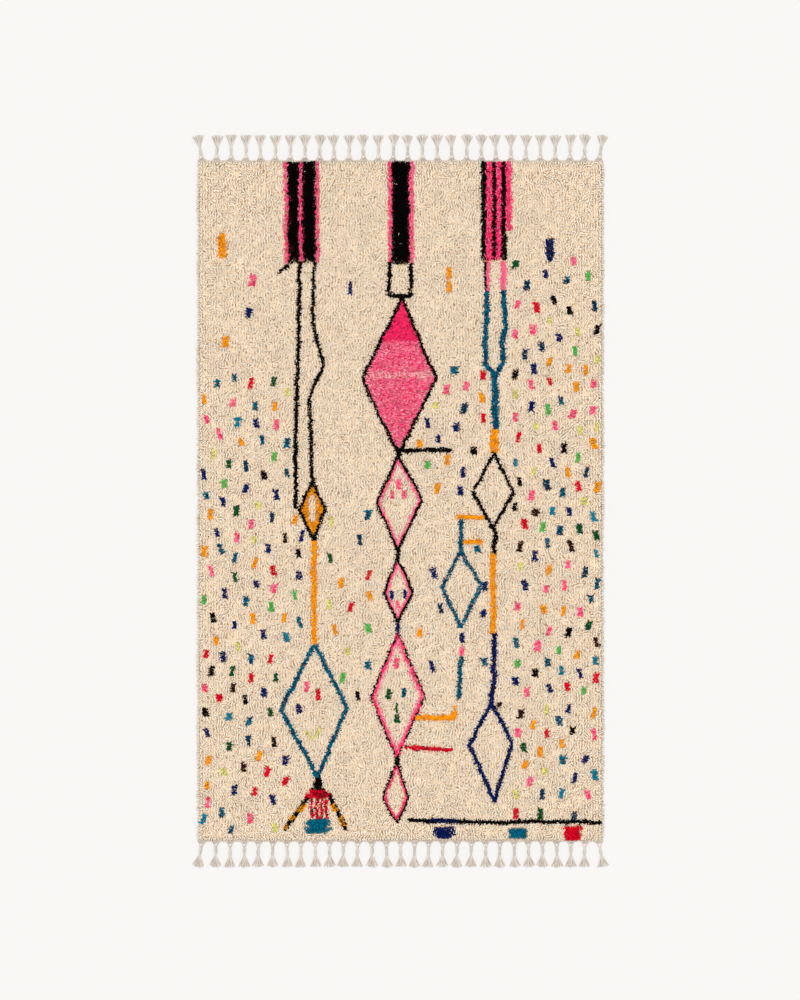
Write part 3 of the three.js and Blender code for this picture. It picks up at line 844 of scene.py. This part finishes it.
pile_feet = felted_feet()
height = CREST + CREST_LUMPS * height_lumps.at(x, y)
height = height + pile_chance.uniform(-CREST_SLIP, CREST_SLIP, x.size) + DYED_RISE * dyed
edge = np.minimum(PILE_WIDTH / 2 - np.abs(x), PILE_LENGTH / 2 - np.abs(y))
height -= np.clip(1 - edge / EDGE_WIDTH, 0, 1) * EDGE_FALL


def rim_knots():
    """Place, dye, lay, reach, girth, height and tip of the outermost tufts, which lean out over the edge."""
    found = []
    half_width, half_length = PILE_WIDTH / 2, PILE_LENGTH / 2
    for inset, level, tip in RIM_TIERS:
        for half, other, lay in ((half_width, half_length, 0), (half_length, half_width, math.pi / 2)):
            for side in (-1, 1):
                along = np.arange(-other + RIM_ENDS, other - RIM_ENDS, RIM_PITCH)
                n = along.size
                along = along + pile_chance.uniform(-RIM_SLIP[0], RIM_SLIP[0], n)
                waves = RIM_WAVES * height_lumps.at(along, 9 * (100 * side + 300 * lay))
                out = side * (half - inset + pile_chance.uniform(-RIM_SLIP[1], RIM_SLIP[1], n) + waves)
                out -= side * CORNER_CUT * np.clip(1 - (other - np.abs(along)) / CORNER_WIDTH, 0, 1) ** 2
                px, py = (out, along) if lay == 0 else (along, out)
                turn = lay + (0 if side > 0 else math.pi) + pile_chance.normal(0, RIM_STRAY, n)
                rise = pile_chance.uniform(-RIM_UNEVENNESS, RIM_UNEVENNESS, n)
                dye = dye_of(px, py, dashes)[0]
                found.append((px, py, dye, turn, np.where(dye > 0, FILLING_REACH, RIM_REACH),
                              np.where(dye > 0, FILLING_GIRTH, LINE_GIRTH), level + rise, np.full(n, tip)))
    return [np.concatenate(column) for column in zip(*found)]


inner = x, y, dye, lay, reach, girth, height, np.zeros(x.size)
x, y, dye, lay, reach, girth, height, tip = (np.concatenate(pair) for pair in zip(inner, rim_knots()))
values = {
    "lay": lay, "tip": tip, "reach": reach, "girth": girth,
    "form": pile_chance.integers(0, len(CURL_FORMS), x.size).astype(np.int32),
    "tone_and_painted_light": pile_chance.uniform(-1, 1, x.size),
}
strip = np.clip(((x / PILE_WIDTH + 0.5) * IVORY_STRIPS).astype(int), 0, IVORY_STRIPS - 1)
pile_pieces = []
for name in DYES:
    inputs = {"Wool": wool_material(name), "Unevenness": DYED_UNEVENNESS, "Tip": CURL_TIP, "Seed": CURL_SEED}
    chosen = {name: dye == DYE[name]}
    if name == "ivory":
        inputs["Unevenness"] = IVORY_UNEVENNESS
        chosen = {f"ivory_{s + 1}": (dye == 0) & (strip == s) for s in range(IVORY_STRIPS)}
    for piece_name, mask in chosen.items():
        points = np.stack([x[mask], y[mask], height[mask]], 1) / 1000
        own_values = {key: numbers[mask] for key, numbers in values.items()}
        piece = grown("pile_" + piece_name, points.tolist(), own_values, curls, inputs)
        rest_on_floor(piece)
        chart_cells(piece, CURL_CORNERS)
        pile_pieces.append(piece)
for form in list(curls.objects):
    bpy.data.objects.remove(form)
pile_pieces.append(pile_feet)
for piece in pile_pieces:
    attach(piece, "root")
    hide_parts("pile_field")


# The tassels: the cotton warps that run out of the cloth's ends, gathered in bunches, each tied in a round
# knot against the band, wound in two plies and pinched, with its loose ends spread flat on the floor.
TASSEL_ROWS = [("top", 28, 1), ("bottom", 29, -1)]
FIRST_TASSEL = 729  # millimetres either side of the middle
TASSEL_LEAN, CORNER_LEAN = 0.05, 0.15
TASSEL_FORMS, TASSEL_UNEVENNESS, TASSEL_SEED = 6, 0.012, 5
WARPS, WARP_PATH = 8, [(15, -8, 1.7), (13.5, 0.5, 2.3), (6.0, 9.0, 5.2)]
WARP_WIDTHS, WARP_HEIGHTS = [1.6, 1.7, 1.7], [1.5, 1.5, 1.6]
KNOT_RINGS = [(6.5, 4.4), (8.0, 6.2), (10.5, 7.4), (14.0, 7.2), (16.8, 5.6), (18.6, 4.2)]
KNOT_LEVEL, KNOT_FLATNESS = 6.4, 0.68
WRAPS = [(8.6, -0.4), (12.0, -1.0)]  # the two turns of yarn over the knot
NECK_FROM, NECK_TO, NECK_STEPS = 16.0, 54.0, 8
SKIRT_STRANDS, SKIRT_SIDES, SKIRT_STEPS = 13, 5, (0, 0.22, 0.5, 0.78, 1)
SKIRT_FROM, SKIRT_LENGTH, SKIRT_SPREAD = 51.0, 43.0, 0.44
SKIRT_WIDTHS = {"upper": [1.8, 1.8, 1.8, 2.0, 1.5], "under": [2.0, 2.2, 2.4, 2.0, 1.2]}
UNDER_FADE, UNDER_SHADE = [1, 1, 1, 0.55, 0.1], 2.6  # painted shade: the lower strands are painted darker under the upper ones, less so towards their tips
# the wraps over the knot are painted lighter, a painted highlight; the neck's plies a little darker
STRAND_TONES_AND_HIGHLIGHT = {"wrap": 1.2, "ply": -0.5}
# the cotton's color, its painted side shade, no painted root shade, and the spread of random lightness that
# also scales the strands' painted shade and highlight
COTTON, COTTON_SIDE_SHADE, COTTON_ROOT_SHADE, COTTON_TONES = srgb(206, 196, 186), srgb(104, 78, 54), (1, 1, 1), 0.17
tassel_chance = np.random.default_rng(29)


def yarn_tube(path, widths, heights, sides):
    """A closed strand along a path: its points, faces, charts and how far each point faces up."""
    path, count = np.array(path, float), len(path)
    ahead = np.gradient(path, axis=0)
    across = np.cross((0, 0, 1), ahead)
    across /= np.linalg.norm(across, axis=1)[:, None]
    up = np.cross(ahead, across)
    up /= np.linalg.norm(up, axis=1)[:, None]
    angles = np.linspace(0, 2 * math.pi, sides + 1)[:-1] + math.pi / 2
    rings = [p + w * math.cos(a) * c + h * math.sin(a) * u
             for p, w, h, c, u in zip(path, widths, heights, across, up) for a in angles]
    reach = 0.5 * ahead / np.linalg.norm(ahead, axis=1)[:, None]
    points = [path[0] - reach[0] * widths[0], *rings, path[-1] + reach[-1] * widths[-1]]
    last = len(points) - 1
    faces, chart = [], []
    for i in range(sides):
        j = (i + 1) % sides
        left, right = i / sides, (i + 1) / sides
        faces.append((0, 1 + i, 1 + j))
        chart += [((left + right) / 2, 0), (left, 0.05), (right, 0.05)]
        for k in range(count - 1):
            a, b = 1 + k * sides, 1 + (k + 1) * sides
            near, far = 0.05 + 0.9 * k / (count - 1), 0.05 + 0.9 * (k + 1) / (count - 1)
            faces.append((a + i, b + i, b + j, a + j))
            chart += [(left, near), (left, far), (right, far), (right, near)]
        end = last - sides
        faces.append((last, end + j, end + i))
        chart += [((left + right) / 2, 1), (right, 0.95), (left, 0.95)]
    # how far each point faces up: the strand is painted in its side shade where it faces down
    crest = [0.5] + [0.5 + 0.5 * math.sin(a) for _ in path for a in angles] + [0.5]
    return points, faces, chart, crest


def tassel_strands():
    """The strands of one tassel, which runs along Y from the band's edge, in millimetres."""
    chance = tassel_chance
    strands = []

    def add(kind, path, widths, heights, sides):
        strands.append((kind, yarn_tube(path, widths, heights, sides)))

    for i in range(WARPS):
        place = 2 * i / (WARPS - 1) - 1
        add("warp", [(x * place, y, z) for x, y, z in WARP_PATH], WARP_WIDTHS, WARP_HEIGHTS, 4)
    add("knot", [(0, y, KNOT_LEVEL) for y, _ in KNOT_RINGS], [r for _, r in KNOT_RINGS],
        [KNOT_FLATNESS * r for _, r in KNOT_RINGS], 10)
    for y, z in WRAPS:
        slip = chance.uniform(-1, 1)
        path = [(-6.4, y - 0.5, 3.5), (-4.4, y + slip * 0.5, 8.8 + z), (0, y + 2 + slip, 11.4 + z),
                (4.4, y + 3.4, 8.8 + z), (6.2, y + 4.2, 3.5)]
        add("wrap", path, [2.4] * 5, [2.2] * 5, 5)
    wind = chance.uniform(0, math.pi)
    for ply in (0, 1):
        path, girth = [], []
        for k in range(NECK_STEPS + 1):
            t = k / NECK_STEPS
            angle = wind + math.pi * (ply + 1.15 * t)
            off = 2.2 + 1.2 * math.sin(math.pi * t) - 0.9 * t
            level = 4.9 - 0.6 * t + 0.55 * off * math.sin(angle)
            path.append((off * math.cos(angle), NECK_FROM + (NECK_TO - NECK_FROM) * t, level))
            girth.append(2.7 + 1.9 * math.sin(math.pi * t ** 0.9) - 0.4 * t)
        add("ply", path, girth, [0.85 * g for g in girth], 6)
    for i in range(SKIRT_STRANDS):
        place = 2 * i / (SKIRT_STRANDS - 1) - 1
        layer = 1 - i % 2
        angle = SKIRT_SPREAD * place + chance.uniform(-0.06, 0.06)
        length = SKIRT_LENGTH * (1 + chance.uniform(-0.07, 0.04))
        bend = chance.uniform(-1.2, 1.2) + 1.6 * place * abs(place)
        path = []
        for t in SKIRT_STEPS:
            out = length * t
            x = 2.4 * place + math.sin(angle) * out * (0.75 + 0.25 * t) + bend * t * (1 - t) * 2
            z = 2.0 + 1.9 * layer + (2.6 - layer) * (1 - t) ** 2 - (1.5 * layer) * t * t
            path.append((x, SKIRT_FROM + math.cos(angle) * out, z))
        kind = "upper" if layer else "under"
        add(kind, path, SKIRT_WIDTHS[kind], [0.8 * g for g in SKIRT_WIDTHS[kind]], SKIRT_SIDES)
    return strands


def tassel_form(name):
    points, faces, charts, crests, tones_and_painted_light = [], [], [], [], []
    strands = tassel_strands()
    cells = math.ceil(math.sqrt(len(strands)))
    for number, (kind, (strand_points, strand_faces, chart, crest)) in enumerate(strands):
        start = len(points)
        points += [[x / 1000, y / 1000, max(z, 0) / 1000] for x, y, z in strand_points]  # flat on the floor
        faces += [[v + start for v in face] for face in strand_faces]
        column, row = number % cells, number // cells
        charts += [((column + 0.06 + 0.88 * u) / cells, (row + 0.06 + 0.88 * v) / cells) for u, v in chart]
        crests += crest
        # random lightness of each strand, with the painted highlight on the wraps
        level = tassel_chance.uniform(-0.7, 0.7) + STRAND_TONES_AND_HIGHLIGHT.get(kind, 0)
        # painted shade on the lower strands under the upper ones
        fade = [0] * len(crest)
        if kind == "under":
            fade = [UNDER_FADE[0], *np.repeat(UNDER_FADE, SKIRT_SIDES), UNDER_FADE[-1]]
        tones_and_painted_light += [level - UNDER_SHADE * f for f in fade]
    mesh = bpy.data.meshes.new(name)
    mesh.from_pydata(points, [], faces)
    store(mesh, "crest", crests)
    store(mesh, "tone_and_painted_light", tones_and_painted_light)
    store(mesh, "yarn", [c for pair in charts for c in pair], "FLOAT2", "CORNER")
    return bpy.data.objects.new(name, mesh), len(charts)


cotton = yarn_material("cotton warp", COTTON, COTTON_SIDE_SHADE, COTTON_ROOT_SHADE, COTTON_TONES, 0.85, 0.15)
tassel_forms = bpy.data.collections.new("tassels")
for number in range(TASSEL_FORMS):
    form, tassel_corners = tassel_form(f"tassel_{number}")
    tassel_forms.objects.link(form)
for end, count, side in TASSEL_ROWS:
    lean = tassel_chance.uniform(-1, 1, count) * TASSEL_LEAN
    lean[0], lean[-1] = CORNER_LEAN, -CORNER_LEAN
    order = tassel_chance.permutation(np.arange(count) % TASSEL_FORMS).astype(np.int32)
    points = [(FIRST_TASSEL * p / 1000, side * CLOTH_LENGTH / 2, 0) for p in np.linspace(-1, 1, count)]
    piece = grown("tassels_" + end, points, {
        "lay": lean if side > 0 else math.pi - lean, "tip": np.zeros(count), "reach": np.ones(count),
        "girth": np.ones(count), "form": order,
    }, tassel_forms, {"Wool": cotton, "Unevenness": TASSEL_UNEVENNESS, "Tip": 0.0, "Seed": TASSEL_SEED})
    chart_cells(piece, tassel_corners)
    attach(piece, "root")
    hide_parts("fringe_" + end)
for form in list(tassel_forms.objects):
    bpy.data.objects.remove(form)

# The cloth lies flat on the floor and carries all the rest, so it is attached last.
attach(ground_cloth, "root")
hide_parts("pile_field")
